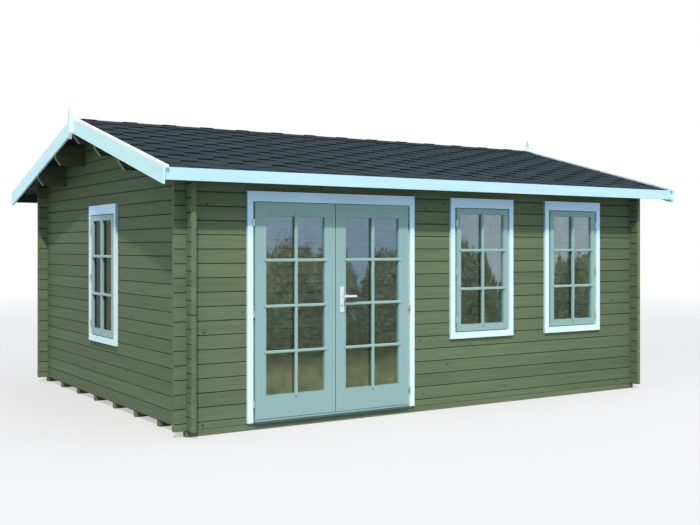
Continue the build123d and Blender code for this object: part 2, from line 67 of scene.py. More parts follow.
# ---------------------------------------------------------------- nodes
class NodeTree:
    """A short way to write nodes."""

    def __init__(self, tree):
        self.tree = tree
        self.coordinates = self.node("ShaderNodeTexCoord").outputs
        self.place = self.coordinates["Object"]

    def node(self, kind, **settings):
        made = self.tree.nodes.new(kind)
        for key, value in settings.items():
            setattr(made, key, value)
        return made

    def link(self, source, target):
        self.tree.links.new(source, target)

    def feed(self, socket, value):
        """Link a socket to another one, or give it a constant."""
        if isinstance(value, bpy.types.NodeSocket):
            self.link(value, socket)
        elif socket.type == "VECTOR":
            socket.default_value = value[:3]
        else:
            socket.default_value = value

    def math(self, operation, a, b=None, c=None):
        n = self.node("ShaderNodeMath", operation=operation)
        for socket, value in zip(n.inputs, (a, b, c)):
            if value is not None:
                self.feed(socket, value)
        return n.outputs[0]

    def scaled(self, scale, location=(0, 0, 0)):
        """The place on the object, scaled and shifted."""
        n = self.node("ShaderNodeMapping")
        self.feed(n.inputs["Vector"], self.place)
        n.inputs["Scale"].default_value = scale
        n.inputs["Location"].default_value = location
        return n.outputs[0]

    def axes(self, vector=None):
        n = self.node("ShaderNodeSeparateXYZ")
        self.feed(n.inputs[0], vector or self.place)
        return n.outputs

    def point(self, x, y, z):
        n = self.node("ShaderNodeCombineXYZ")
        for socket, value in zip(n.inputs, (x, y, z)):
            self.feed(socket, value)
        return n.outputs[0]

    def noise(self, scale, detail=3.0, roughness=0.55, vector=None, distortion=0.0):
        n = self.node("ShaderNodeTexNoise")
        self.feed(n.inputs["Vector"], vector or self.place)
        n.inputs["Scale"].default_value = scale
        n.inputs["Detail"].default_value = detail
        n.inputs["Roughness"].default_value = roughness
        n.inputs["Distortion"].default_value = distortion
        return n.outputs["Fac"]

    def ramp(self, value, low, high, out_low=0.0, out_high=1.0, smooth=False):
        """The value taken from one range to another, and held at its ends."""
        n = self.node("ShaderNodeMapRange", interpolation_type="SMOOTHSTEP" if smooth else "LINEAR")
        self.feed(n.inputs["Value"], value)
        ends = (("From Min", low), ("From Max", high), ("To Min", out_low), ("To Max", out_high))
        for key, number in ends:
            n.inputs[key].default_value = number
        return n.outputs[0]

    def mix(self, factor, a, b, blend="MIX"):
        n = self.node("ShaderNodeMix", data_type="RGBA", blend_type=blend)
        for index, value in ((0, factor), (6, a), (7, b)):
            self.feed(n.inputs[index], value)
        return n.outputs[2]

    def times(self, colour, value):
        """The colour made lighter or darker by a number that varies over the surface."""
        n = self.node("ShaderNodeVectorMath", operation="SCALE")
        self.feed(n.inputs[0], colour)
        self.feed(n.inputs["Scale"], value)
        return n.outputs[0]

    def bump(self, height, distance, strength):
        n = self.node("ShaderNodeBump")
        self.feed(n.inputs["Height"], height)
        n.inputs["Distance"].default_value = distance
        n.inputs["Strength"].default_value = strength
        return n.outputs[0]

    def random(self, value):
        n = self.node("ShaderNodeTexWhiteNoise", noise_dimensions="1D")
        self.feed(n.inputs["W"], value)
        return n.outputs["Value"]

    def seen(self):
        """1 for what is seen, straight, mirrored or through glass, and 0 for light that falls."""
        rays = self.node("ShaderNodeLightPath").outputs
        shown = self.math("MAXIMUM", rays["Is Camera Ray"], rays["Is Glossy Ray"])
        return self.math("MAXIMUM", shown, rays["Is Transmission Ray"])

    def blend(self, factor, first, second):
        """A mix of two shader nodes."""
        n = self.node("ShaderNodeMixShader")
        self.feed(n.inputs[0], factor)
        self.link(first.outputs[0], n.inputs[1])
        self.link(second.outputs[0], n.inputs[2])
        return n


class Coat(NodeTree):
    """The nodes of a new material, round its own shader."""

    def __init__(self, name):
        self.material = bpy.data.materials.new(name)
        self.material.use_nodes = True
        super().__init__(self.material.node_tree)
        self.shader = self.tree.nodes["Principled BSDF"]

    def finish(self, colour, roughness, normal, **constants):
        self.feed(self.shader.inputs["Base Color"], colour)
        self.feed(self.shader.inputs["Roughness"], roughness)
        self.feed(self.shader.inputs["Normal"], normal)
        for key, value in constants.items():
            self.shader.inputs[key.replace("_", " ")].default_value = value
        return self.material

    def finish_with(self, shader):
        """The material with another shader in the place of its own."""
        self.link(shader.outputs[0], self.tree.nodes["Material Output"].inputs["Surface"])
        return self.material


# ---------------------------------------------------------------- wood
KNOT_HEART = srgb(38, 42, 30)
# painted shade: the dark colour put into the grooves between the logs, where the downward bevel and the gap
# lie in shade
JOINT_SHADE = srgb(28, 38, 22)
# Painted shade in the joints, as shares of a course: fading above the lower joint, growing below the upper.
JOINT_FOOT = (0.048, 0.068)
JOINT_HEAD = (0.978, 0.990)
LOG_KNOTS = dict(spacing=0.36, radius=0.0105, share=0.5)
BOARD_KNOTS = dict(spacing=0.30, radius=0.008, share=0.35)
# bare back of a board: stain, darkened further as painted shade under the roof
BACK_STAIN_AND_SHADE = srgb(50, 58, 42)
PAINTED_SHADE_HEIGHTS = (1.54, 1.72)             # heights between which the coat under the eaves turns bluer, as painted shade
# painted sheen: metallic share of the bluer coat under the eaves, so that it throws back light tinted blue
PAINTED_SHEEN = 0.28
SILL_EDGE = (0.066, 0.070)         # heights between which the sill's drip face ends
SILL_FACE, SILL_TOP = srgb(74, 98, 106), srgb(148, 181, 176)


def stretched(t, axis, along, across):
    """The place on the surface, drawn out along the grain."""
    scale = [across] * 3
    scale[AXES[axis]] = along
    return t.scaled(scale)


def grain(t, axis):
    """(broad streaks, fine fibres, slow change of tone) of sawn softwood, each from 0 to 1."""
    slow = t.noise(1.3, detail=2)
    streaks = t.noise(1.0, 4, 0.6, stretched(t, axis, 1.6, 34), distortion=0.6)
    fibres = t.noise(1.0, 3, 0.7, stretched(t, axis, 7, 210))
    return streaks, fibres, slow


def relief(t, streaks, fibres, share):
    """Height of the grain, with a share of it in the streaks and the rest in the fibres."""
    return t.math("ADD", t.math("MULTIPLY", streaks, share), t.math("MULTIPLY", fibres, 1 - share))


def knots(t, axis, up, spacing, radius, share):
    """(dark heart, ring around it) of knots, strewn over the grain's axis and the board's width.

    Only a share of the places has a knot.
    """
    along = t.axes()[AXES[axis]]
    cells = t.node("ShaderNodeTexVoronoi", voronoi_dimensions="2D", feature="F1")
    place = t.point(
        t.math("MULTIPLY", along, 1 / spacing), t.math("MULTIPLY", up, 1 / spacing), 0.0
    )
    t.feed(cells.inputs["Vector"], place)
    cells.inputs["Scale"].default_value = 1.0
    cells.inputs["Randomness"].default_value = 0.9
    wobble = t.math("MULTIPLY", t.math("SUBTRACT", t.noise(16, 2), 0.5), 0.035)
    distance = t.math("ADD", cells.outputs["Distance"], wobble)
    chosen = t.math("LESS_THAN", t.axes(cells.outputs["Color"])[0], share)
    r = radius / spacing
    heart = t.math("MULTIPLY", t.ramp(distance, r * 0.55, r * 1.15, 1, 0, True), chosen)
    ring = t.math("MULTIPLY", t.ramp(distance, r * 1.0, r * 3.2, 1, 0, True), chosen)
    return heart, ring


def facing(t, axis):
    """1 on faces that look along the axis, such as the sawn ends of boards that lie along it."""
    normal = t.node("ShaderNodeNewGeometry").outputs["Normal"]
    return t.math("GREATER_THAN", t.math("ABSOLUTE", t.axes(normal)[AXES[axis]]), 0.45)


def log_material(name, axis, joint_height, seed, base, pale, dark, fade, painted_eave_shade):
    """Stained log wall: grain along the log, a tone for each log, knots, and painted shade in the joints.

    fade: axis, start, end and what is left of the colour there; painted_eave_shade: the same by height,
    painted shade under the eaves.
    """
    t = Coat(name)
    streaks, fibres, _ = grain(t, axis)
    z = t.axes()[2]
    level = t.math("MULTIPLY", t.math("SUBTRACT", z, joint_height), 1 / COURSE)
    within = t.math("FRACT", level)
    tone = t.random(t.math("ADD", t.math("FLOOR", level), seed))
    tone = t.ramp(tone, 0, 1, 0.93, 1.07)
    # painted shade in the joint grooves, left off the logs' ends
    joint = t.math(
        "MAXIMUM", t.ramp(within, *JOINT_FOOT, 1, 0, True), t.ramp(within, *JOINT_HEAD, 0, 1, True)
    )
    joint = t.math("MULTIPLY", joint, t.math("SUBTRACT", 1.0, facing(t, axis)))
    patch = t.ramp(t.noise(0.55, 3, 0.5), 0.3, 0.7, 0.94, 1.06)
    colour = t.mix(t.ramp(streaks, 0.32, 0.68), dark, pale)
    colour = t.mix(0.42, base, colour)
    colour = t.times(colour, t.math("MULTIPLY", tone, patch))
    # darker along one axis over the given range
    fade_axis, start, end, left = fade
    colour = t.times(colour, t.ramp(t.axes()[AXES[fade_axis]], start, end, 1.0, left, True))
    # painted shade: darker towards the top, under the eaves
    start, end, left = painted_eave_shade
    colour = t.times(colour, t.ramp(z, start, end, 1.0, left, True))
    colour = t.times(colour, t.ramp(fibres, 0.3, 0.7, 0.95, 1.05))
    heart, ring = knots(t, axis, z, **LOG_KNOTS)
    colour = t.mix(t.math("MULTIPLY", ring, 0.28), colour, dark)
    colour = t.mix(t.math("MULTIPLY", heart, 0.72), colour, KNOT_HEART)
    # painted shade mixed into the joints
    colour = t.mix(t.math("MULTIPLY", joint, 0.84), colour, JOINT_SHADE)
    height = relief(t, streaks, fibres, 0.6)
    height = t.math("SUBTRACT", height, t.math("MULTIPLY", heart, 0.5))
    return t.finish(
        colour, t.ramp(streaks, 0.2, 0.8, 0.62, 0.78), t.bump(height, 0.0016, 0.55), Specular_IOR_Level=0.12
    )


def board_material(name, axis, base, pale, dark, strength, up_axis="z", end=None):
    """Sawn board, stained or bare, with grain along one axis. Its ends may have their own colour."""
    t = Coat(name)
    streaks, fibres, slow = grain(t, axis)
    colour = t.mix(t.ramp(streaks, 0.3, 0.7), dark, pale)
    colour = t.mix(strength, base, colour)
    colour = t.times(colour, t.ramp(slow, 0.3, 0.7, 0.94, 1.06))
    colour = t.times(colour, t.ramp(fibres, 0.3, 0.7, 0.96, 1.04))
    heart, ring = knots(t, axis, t.axes()[AXES[up_axis]], **BOARD_KNOTS)
    colour = t.mix(t.math("MULTIPLY", ring, 0.25), colour, dark)
    colour = t.mix(t.math("MULTIPLY", heart, 0.6), colour, darker(dark, 0.35))
    if end is not None:
        colour = t.mix(facing(t, axis), colour, end)
    height = relief(t, streaks, fibres, 0.6)
    return t.finish(
        colour, t.ramp(streaks, 0.2, 0.8, 0.55, 0.7), t.bump(height, 0.0012, 0.5), Specular_IOR_Level=0.15
    )


def paint_material(name, base, shade, axis, grain_show=0.05, back=None, cool=None):
    """Painted joinery: an even coat with brush marks and grain just showing.

    Under the eaves the coat may turn bluer with a metallic sheen (cool), as painted shade and a painted
    sheen; a board's back may be bare, darkened as painted shade (back: axis and depth).
    """
    t = Coat(name)
    streaks, fibres, _ = grain(t, axis)
    soft = t.noise(3.1, 3, 0.5)
    colour = t.mix(t.ramp(soft, 0.3, 0.7, 0.0, 0.35), base, shade)
    if cool is not None:
        # painted shade and painted sheen: a bluer, partly metallic coat high under the eaves
        painted_shade_mask = t.ramp(t.axes()[2], *PAINTED_SHADE_HEIGHTS, 0.0, 1.0, True)
        colour = t.mix(painted_shade_mask, colour, cool)
        t.feed(t.shader.inputs["Metallic"], t.math("MULTIPLY", painted_shade_mask, PAINTED_SHEEN))
    colour = t.times(colour, t.ramp(streaks, 0.3, 0.7, 1 - grain_show, 1 + grain_show * 0.4))
    if back is not None:
        # the board's back: bare stain, darkened as painted shade
        across = t.math("ABSOLUTE", t.axes()[AXES[back[0]]])
        colour = t.mix(t.math("LESS_THAN", across, back[1]), colour, BACK_STAIN_AND_SHADE)
    height = relief(t, streaks, fibres, 0.7)
    return t.finish(
        colour, t.ramp(soft, 0.3, 0.7, 0.36, 0.50), t.bump(height, 0.0005, 0.45), Specular_IOR_Level=0.25
    )


def threshold_material(name):
    """Hardwood sill with its upper edge painted as the doors, and a blue-grey drip face below."""
    t = Coat(name)
    streaks, fibres, _ = grain(t, "x")
    colour = t.mix(t.ramp(t.axes()[2], *SILL_EDGE, 0, 1, True), SILL_FACE, SILL_TOP)
    colour = t.times(colour, t.ramp(streaks, 0.3, 0.7, 0.93, 1.05))
    height = relief(t, streaks, fibres, 0.7)
    return t.finish(
        colour, t.ramp(streaks, 0.3, 0.7, 0.45, 0.6), t.bump(height, 0.0006, 0.45), Specular_IOR_Level=0.2
    )


# ---------------------------------------------------------------- felt and metal
def shingle_material(name):
    """Mineral felt: dark slate granules of several tones."""
    t = Coat(name)
    grit = t.noise(420, 2, 0.8)
    coarse = t.noise(60, 3, 0.6)
    cloud = t.noise(1.7, 3, 0.5)
    colour = t.mix(t.ramp(grit, 0.35, 0.65), srgb(43, 54, 57), srgb(64, 77, 80))
    colour = t.times(colour, t.ramp(coarse, 0.3, 0.7, 0.86, 1.12))
    colour = t.times(colour, t.ramp(cloud, 0.3, 0.7, 0.9, 1.1))
    return t.finish(
        colour, t.ramp(grit, 0.3, 0.7, 0.86, 0.96), t.bump(grit, 0.0012, 0.6), Specular_IOR_Level=0.01
    )


def felt_edge_material(name):
    """The cut edge of bitumen felt: black, with torn fibres."""
    t = Coat(name)
    fibre = t.noise(260, 3, 0.7)
    colour = t.mix(fibre, srgb(22, 28, 31), srgb(42, 51, 55))
    return t.finish(
        colour, t.ramp(fibre, 0.3, 0.7, 0.82, 0.95), t.bump(fibre, 0.0008, 0.6), Specular_IOR_Level=0.01
    )


def metal_material(name, base, rough, scale):
    """Turned and brushed metal with a soft satin finish."""
    t = Coat(name)
    brushed = t.noise(1.0, 3, 0.6, t.scaled((scale, scale, scale * 0.1)))
    smear = t.noise(22, 2, 0.5)
    colour = t.times(base, t.ramp(brushed, 0.3, 0.7, 0.93, 1.05))
    streaky = t.ramp(brushed, 0.3, 0.7, rough - 0.05, rough + 0.05)
    roughness = t.math("ADD", streaky, t.ramp(smear, 0.3, 0.7, -0.03, 0.05))
    return t.finish(colour, roughness, t.bump(brushed, 0.0002, 0.3), Metallic=1.0)


# ---------------------------------------------------------------- glass
PAINTED_CROWNS = ((-0.93, 0.15, 0.32), (0.66, 0.16, 0.36), (1.40, 0.07, 0.18))     # tree crowns of the painted reflection: x, half width and height
PAINTED_SKY_LINE = (1.47, 1.51)            # heights between which the painted reflection of the trees ends
GABLE_SIDE = -2.4                  # panes left of it are the gable window's
MOST_SHINE = 0.7


def painted_sky_over_trees(t, x, z, right):
    """Painted reflection: 1 where a front pane shows painted sky and 0 where it shows painted trees, with a
    ragged line between.
    """
    def crown(middle, half):
        away = t.math("MULTIPLY", t.math("ABSOLUTE", t.math("SUBTRACT", x, middle)), 1 / half)
        return t.math("MAXIMUM", t.math("SUBTRACT", 1.0, away), 0.0)

    ragged = t.noise(1.0, 5, 0.62, t.scaled((5.5, 5.5, 3.0)))
    leafy = t.noise(1.0, 5, 0.85, t.scaled((38, 38, 24), location=(1, 4, 2)))
    level = t.math("ADD", z, t.math("MULTIPLY", t.math("SUBTRACT", ragged, 0.5), 0.5))
    level = t.math("ADD", level, t.math("MULTIPLY", right, 0.06))
    level = t.math("ADD", level, t.math("MULTIPLY", t.math("SUBTRACT", leafy, 0.5), 0.62))
    for middle, half, height in PAINTED_CROWNS:
        level = t.math("ADD", level, t.math("MULTIPLY", crown(middle, half), height))
    return t.ramp(level, *PAINTED_SKY_LINE, 0.0, 1.0, True)


def painted_sky_between_leaves(t, z):
    """Painted reflection: how much painted sky shows through small gaps in the painted trees."""
    fine = t.noise(1.0, 3, 0.8, t.scaled((36, 36, 30), location=(7, 2, 5)))
    broad = t.noise(1.0, 2, 0.5, t.scaled((6, 6, 5), location=(2, 8, 1)))
    gaps = t.math("MULTIPLY", t.ramp(fine, 0.55, 0.61, 0.0, 0.42), t.ramp(broad, 0.42, 0.54, 0, 1))
    heights = t.math("MULTIPLY", t.ramp(z, 0.66, 0.8, 0, 1), t.ramp(z, 1.3, 1.42, 1, 0))
    return t.math("MULTIPLY", gaps, heights)


def painted_tree_reflection(t, z, blotch):
    """Painted reflection: the colour of grass at the foot of a pane and of foliage above it."""
    grass, wood, crowns = (0.78, 1.0, 0.56, 1), (0.37, 0.48, 0.30, 1), (0.62, 0.74, 0.52, 1)
    tint = t.mix(t.ramp(z, 0.36, 0.62, 0.0, 1.0, True), grass, wood)
    tint = t.mix(t.ramp(z, 1.0, 1.4, 0.0, 0.5), tint, crowns)
    tint = t.times(tint, t.ramp(blotch, 0.32, 0.68, 0.62, 1.40))
    leaves = t.noise(1.0, 4, 0.8, t.scaled((34, 34, 26), location=(4, 6, 3)))
    above_grass = t.ramp(z, 0.58, 0.72, 0, 1, True)
    leaves = t.mix(above_grass, (1, 1, 1, 1), t.ramp(leaves, 0.36, 0.64, 0.40, 1.75))
    return t.mix(1.0, tint, leaves, blend="MULTIPLY")


def glass_material(name):
    """Clear float glass with a painted reflection of sky and trees in its coat, and a faint film of dust.

    The surroundings aren't part of the object, so the coat's tint paints their reflection, and the gable's
    panes are darkened as painted shade.
    """
    t = Coat(name)
    x, y, z = t.axes()
    right = t.ramp(x, -0.4, 0.7, 0.0, 1.0, True)
    in_gable = t.math("LESS_THAN", x, GABLE_SIDE)
    blotch = t.noise(1.0, 4, 0.65, t.scaled((13, 13, 9), location=(3, 1, 2)))

    # painted reflection: 1 where painted sky shows in a front pane
    sky = t.math("MAXIMUM", painted_sky_over_trees(t, x, z, right), painted_sky_between_leaves(t, z))
    # painted reflection: the sky's tint, paler to the right
    painted_sky_tint = t.mix(right, (0.52, 0.75, 1.0, 1), (0.70, 0.88, 0.98, 1))
    painted_sky_tint = t.times(painted_sky_tint, t.ramp(blotch, 0.3, 0.7, 0.93, 1.06))
    # painted reflection of the gable's panes: dark slate on the front half and dark green on the back half
    painted_gable_reflection = t.mix(t.math("LESS_THAN", y, 0.0), (0.22, 0.27, 0.28, 1), (0.27, 0.31, 0.23, 1))
    painted_gable_reflection = t.times(painted_gable_reflection, t.ramp(blotch, 0.32, 0.68, 0.85, 1.15))
    tint = t.mix(in_gable, t.mix(sky, painted_tree_reflection(t, z, blotch), painted_sky_tint), painted_gable_reflection)

    edge_on = t.node("ShaderNodeLayerWeight")
    edge_on.inputs["Blend"].default_value = 0.5
    bare = t.math("MULTIPLY_ADD", t.math("POWER", edge_on.outputs["Facing"], 5.0), 0.96, 0.04)
    # painted reflection: the coat is stronger where painted sky shows
    coat = t.math("MULTIPLY_ADD", sky, 2.9, 1.8)
    coat = t.math("MULTIPLY_ADD", t.math("MULTIPLY", right, sky), 0.8, coat)
    # the gable's panes keep one even coat
    coat = t.math("MULTIPLY_ADD", t.math("SUBTRACT", 1.8, coat), in_gable, coat)
    amount = t.math("MINIMUM", t.math("MULTIPLY", bare, coat), MOST_SHINE)

    clear = t.node("ShaderNodeBsdfTransparent")
    # painted shade: the gable's panes let through about a quarter of the light, so the room behind them
    # looks dark
    clear_tint_and_gable_shade = t.mix(in_gable, (0.92, 0.95, 0.91, 1), (0.24, 0.26, 0.25, 1))
    t.feed(clear.inputs["Color"], clear_tint_and_gable_shade)
    shine = t.node("ShaderNodeBsdfGlossy")
    t.feed(shine.inputs["Color"], tint)
    t.feed(shine.inputs["Roughness"], t.ramp(t.noise(30, 2, 0.5), 0.3, 0.7, 0.015, 0.035))
    t.shader.inputs["Base Color"].default_value = srgb(150, 158, 160)
    t.shader.inputs["Roughness"].default_value = 0.8
    dust = t.ramp(t.noise(2.2, 4, 0.6), 0.35, 0.75, 0.0, 0.015)
    return t.finish_with(t.blend(dust, t.blend(amount, clear, shine), t.shader))


# ---------------------------------------------------------------- the coats and who wears them
FRONT_STAIN = dict(
    base=srgb(102, 118, 89), pale=srgb(114, 130, 100), dark=srgb(88, 104, 76),
    # fade: darker towards the right end; painted_eave_shade: painted shade of the top logs under the eaves
    fade=("x", 0.3, 2.5, 0.82), painted_eave_shade=(1.94, 2.15, 0.62),
)
GABLE_STAIN = dict(
    base=srgb(101, 118, 88), pale=srgb(115, 132, 100), dark=srgb(85, 102, 73),
    # fade: darker towards the back; painted_eave_shade: painted shade of the upper gable under the roof
    fade=("y", -1.2, 0.6, 0.86), painted_eave_shade=(1.55, 2.25, 0.84),
)
log_long = log_material("stain_long_walls", "x", WALL_BASE + COURSE / 2, 3.0, **FRONT_STAIN)
log_gable = log_material("stain_gable_walls", "y", WALL_BASE, 61.0, **GABLE_STAIN)
# painted shade: purlin stain darker than the walls' for the shade under the roof; the paler ends are end
# grain, lightened further as a painted highlight
purlin_stain_and_shade = board_material(
    "stain_and_shade_purlins", "x", srgb(72, 80, 60), srgb(84, 94, 72), srgb(56, 62, 44), 0.45,
    end=srgb(128, 136, 104),
)
beam_stain = board_material(
    "stain_beams", "x", srgb(104, 119, 91), srgb(112, 126, 99), srgb(90, 104, 77), 0.4
)
# painted shade: roof boards stained almost black, standing in for the shade under the roof
soffit_stain_and_shade = board_material(
    "stain_and_shade_roof_boards", "y", srgb(27, 35, 32), srgb(34, 42, 38), srgb(19, 25, 23), 0.5, up_axis="x"
)
floor_wood = board_material(
    "floor_wood", "y", srgb(160, 156, 112), srgb(178, 172, 128), srgb(136, 130, 88), 0.5, up_axis="x"
)
CASING = (srgb(224, 253, 255), srgb(219, 251, 254))
FASCIA = (srgb(196, 236, 252), srgb(189, 230, 250))
# painted light: the same trim paint as the fascias', made lighter to make up for the weaker light on the
# gables
ROOF_TRIM = (srgb(211, 255, 255), srgb(207, 252, 255))
CAP_TRIM = (srgb(236, 252, 255), srgb(230, 249, 255))
SAGE = (srgb(148, 181, 179), srgb(143, 177, 175))
SAGE_FRAME = (srgb(160, 196, 192), srgb(154, 190, 187))
SAGE_BAR = (srgb(154, 186, 180), srgb(146, 180, 175))
# painted shade: the bluer tone that the casings take high under the eaves
PAINTED_SHADE_BLUE = srgb(190, 227, 255)
FASCIA_BACK = ("y", 2.2004)        # just past the plane in which the fascias meet the roof
casing_x = paint_material("pale_paint_heads", *CASING, "x", cool=PAINTED_SHADE_BLUE)
casing_z = paint_material("pale_paint_legs", *CASING, "z", cool=PAINTED_SHADE_BLUE)
fascia_paint = paint_material("pale_paint_fascias", *FASCIA, "x", back=FASCIA_BACK)
barge_paint = paint_material("pale_paint_bargeboards", *ROOF_TRIM, "y")
cap_paint = paint_material("pale_paint_caps", *CAP_TRIM, "y")
frame_paint = paint_material("sage_paint_frames", *SAGE_FRAME, "z", grain_show=0.035)
joinery_z = paint_material("sage_paint_upright", *SAGE, "z", grain_show=0.035)
joinery_x = paint_material("sage_paint_long", *SAGE, "x", grain_show=0.035)
bar_paint = paint_material("sage_paint_bars", *SAGE_BAR, "x", grain_show=0.04)
slate = shingle_material("slate_granules")
felt_edge = felt_edge_material("felt_edge")
hinge_metal = metal_material("satin_zinc", srgb(205, 212, 216), 0.38, 140)
dark_metal = metal_material("dark_zinc", srgb(96, 104, 104), 0.45, 140)
handle_metal = metal_material("satin_aluminium", srgb(232, 240, 246), 0.32, 160)
threshold_wood = threshold_material("threshold_wood")
glass = glass_material("window_glass")


def dress(material, *names):
    for name in names:
        mesh = nodes[name].data
        mesh.materials.clear()
        mesh.materials.append(material)


dress(log_long, "front_wall_logs_even", "front_wall_logs_odd")
dress(log_long, "back_wall_logs_even", "back_wall_logs_odd")
dress(log_gable, "left_gable_logs_even", "left_gable_logs_odd")
dress(log_gable, "right_gable_logs_even", "right_gable_logs_odd")
dress(purlin_stain_and_shade, "purlins")
dress(beam_stain, "foundation_beams")
dress(floor_wood, "floor_deck")
dress(soffit_stain_and_shade, "front_roof_boards", "back_roof_boards")
dress(slate, "front_shingles", "back_shingles", "ridge_strip")
dress(fascia_paint, "eave_fascias")
dress(barge_paint, "front_bargeboards", "back_bargeboards")
dress(cap_paint, "front_barge_caps", "back_barge_caps", "finials")
dress(casing_x, "door_casing_head", "window_casing_rails")
dress(casing_z, "door_casing_legs", "window_casing_legs")
dress(frame_paint, "door_head", "door_jambs", "window_frames")
dress(joinery_x, "left_leaf_rails", "right_leaf_rails", "window_sash_rails")
dress(joinery_z, "door_stops", "left_leaf_stiles", "right_leaf_stiles", "window_sash_stiles")
dress(threshold_wood, "door_threshold")
dress(hinge_metal, "door_hinge_pins", "left_leaf_knuckles", "right_leaf_knuckles")
dress(handle_metal, "handle_plates", "handle_lever")
dress(glass, "left_leaf_glass", "right_leaf_glass", "window_glass")


# ---------------------------------------------------------------- meshes
class Shape:
    """A mesh gathered from many small closed solids."""

    def __init__(self):
        self.points = []
        self.faces = []

    def solid(self, points, faces):
        start = len(self.points)
        self.points.extend(points)
        self.faces.extend([tuple(start + i for i in face) for face in faces])

    def prism(self, outline, travel):
        """A closed outline of points moved along a straight line."""
        count = len(outline)
        base = [Vector(p) for p in outline]
        run = Vector(travel)
        normal = Vector((0, 0, 0))
        for a, b in zip(base, base[1:] + base[:1]):
            normal += a.cross(b)
        if normal.dot(run) > 0:
            base.reverse()
        far = [p + run for p in base]
        faces = [tuple(range(count)), tuple(range(2 * count - 1, count - 1, -1))]
        for i in range(count):
            j = (i + 1) % count
            faces.append((j, i, count + i, count + j))
        self.solid(base + far, faces)

    def box(self, low, high):
        (x0, y0, z0), (x1, y1, z1) = low, high
        self.prism([(x0, y0, z0), (x1, y0, z0), (x1, y1, z0), (x0, y1, z0)], (0, 0, z1 - z0))

    def rod(self, start, end, radius, sides=16):
        start, end = Vector(start), Vector(end)
        run = end - start
        side = run.orthogonal().normalized() * radius
        ring = [
            start + Matrix.Rotation(2 * math.pi * k / sides, 3, run.normalized()) @ side
            for k in range(sides)
        ]
        self.prism(ring, run)

    def moved(self, matrix):
        self.points = [matrix @ Vector(p) for p in self.points]
        return self

    def obj(self, name, material, body, slot, bevel=0.0, replaces=()):
        """The shape as a Blender object that rides on a body."""
        mesh = bpy.data.meshes.new(name)
        mesh.from_pydata([tuple(p) for p in self.points], [], self.faces)
        made = bmesh.new()
        made.from_mesh(mesh)
        bmesh.ops.recalc_face_normals(made, faces=made.faces)
        made.to_mesh(mesh)
        made.free()
        mesh.materials.append(material)
        piece = bpy.data.objects.new(name, mesh)
        bpy.context.scene.collection.objects.link(piece)
        if bevel:
            edge = piece.modifiers.new("edge", "BEVEL")
            edge.width = bevel
            edge.segments = 2
            edge.limit_method = "ANGLE"
            edge.angle_limit = math.radians(40)
        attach(piece, body)
        if replaces:
            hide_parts(*replaces)
        return piece


# ---------------------------------------------------------------- the roof's slopes
ROOF_LOW, ROOF_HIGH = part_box("front_shingles")
SLOPE = (ROOF_HIGH.y - ROOF_LOW.y) / math.cos(PITCH)       # from the ridge to the eaves
FELT_LAYER = 0.005                 # thickness of the CAD's shingle layer


def slope_out(sign):
    """The direction square to a slope: sign 1 is the front slope and -1 the back one."""
    return Vector((0, -math.sin(PITCH) * sign, math.cos(PITCH)))


def slope_place(sign):
    """A frame on one slope: x along the ridge, y down the slope from the ridge, z out of the boards."""
    down = Vector((0, -math.cos(PITCH) * sign, -math.sin(PITCH)))
    matrix = Matrix.Identity(4)
    for column, axis in enumerate((Vector((1, 0, 0)), down, slope_out(sign))):
        for row in range(3):
            matrix[row][column] = axis[row]
    matrix[2][3] = ROOF_HIGH.z - FELT_LAYER / math.cos(PITCH)
    return matrix


# ---------------------------------------------------------------- shingles
SHINGLE_PERIOD = 0.400             # from tab to tab, along the ridge
SHINGLE_TAB = 0.130                # a tab's width at its foot, and the gap's width at its head
SHINGLE_ROW = 0.1355               # from one row's foot to the next
SHINGLE_THICKNESS = 0.0034
SHINGLE_LIFT = 0.0056              # of a row's foot, which lies on the row below
SHINGLE_LAP = 1.6                  # how far a piece of felt reaches up, in rows
SHINGLE_LOWEST = 2.2555            # foot of the lowest row of tabs, down the slope from the ridge
SHINGLE_PHASE = -1.710             # middle of one of its tabs, along the ridge
STARTER_DEPTH = 0.200              # plain strip of felt under the lowest tabs
STARTER_THICKNESS = 0.0045


def tab_edge(x0, x1, foot, phase):
    """The lower edge of a row: trapezium tabs, cut off at the roof's ends."""
    half_head = (SHINGLE_PERIOD - SHINGLE_TAB) / 2
    corners = []
    start = math.floor((x0 - phase) / SHINGLE_PERIOD) - 1
    count = int((x1 - x0) / SHINGLE_PERIOD) + 4
    for k in range(start, start + count):
        centre = phase + k * SHINGLE_PERIOD
        corners += [
            (centre - half_head, foot - SHINGLE_ROW),
            (centre - SHINGLE_TAB / 2, foot),
            (centre + SHINGLE_TAB / 2, foot),
            (centre + half_head, foot - SHINGLE_ROW),
        ]
    edge = []
    for (ax, ay), (bx, by) in zip(corners, corners[1:]):
        if bx <= x0 or ax >= x1:
            continue
        if ax < x0:
            ay = ay + (by - ay) * (x0 - ax) / (bx - ax)
            ax = x0
        if bx > x1:
            by = ay + (by - ay) * (x1 - ax) / (bx - ax)
            bx = x1
        if not edge or (abs(edge[-1][0] - ax) > 1e-6 or abs(edge[-1][1] - ay) > 1e-6):
            edge.append((ax, ay))
        if bx - ax > 1e-6:
            edge.append((bx, by))
    return edge


